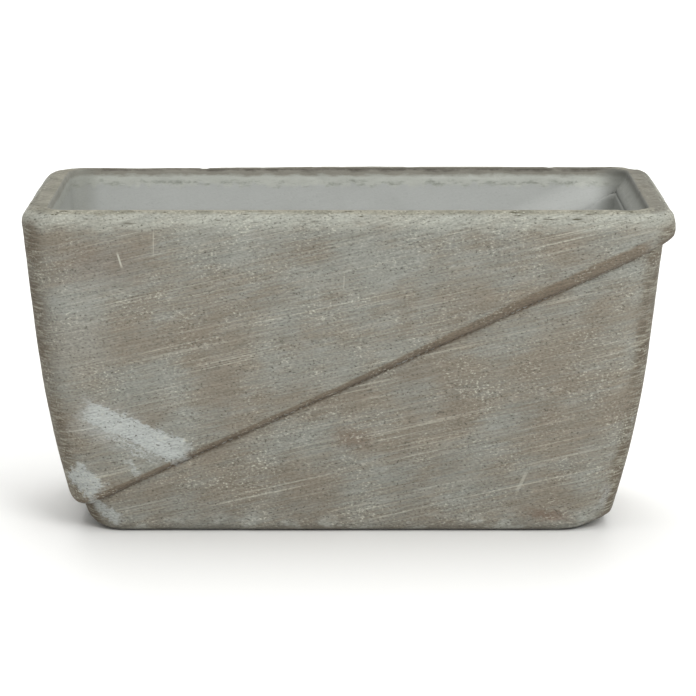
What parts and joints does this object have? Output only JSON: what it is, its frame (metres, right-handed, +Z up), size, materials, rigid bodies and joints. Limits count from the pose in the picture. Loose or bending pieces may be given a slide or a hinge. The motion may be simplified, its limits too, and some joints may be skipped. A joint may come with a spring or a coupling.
{
  "type": "trough planter",
  "caption": "Rectangular trough planter of whitewashed fired clay, with tapered walls, a rounded rim, an oblique lapped step all round, and drain holes in a flat base.",
  "frame": {"origin": "middle of the footprint, on the surface that the planter stands on", "axes": "+X along the length, towards the end where the seam is high; +Y from the front wall to the back wall; +Z up"},
  "size_m": [0.2986, 0.1482, 0.154],
  "materials": {
    "whitewashed_clay": "matt, porous, brushed with a thin grey-white clay wash"
  },
  "bodies": {
    "root": {"lower_tub": "whitewashed_clay", "upper_collar": "whitewashed_clay"}
  },
  "joints": []
}
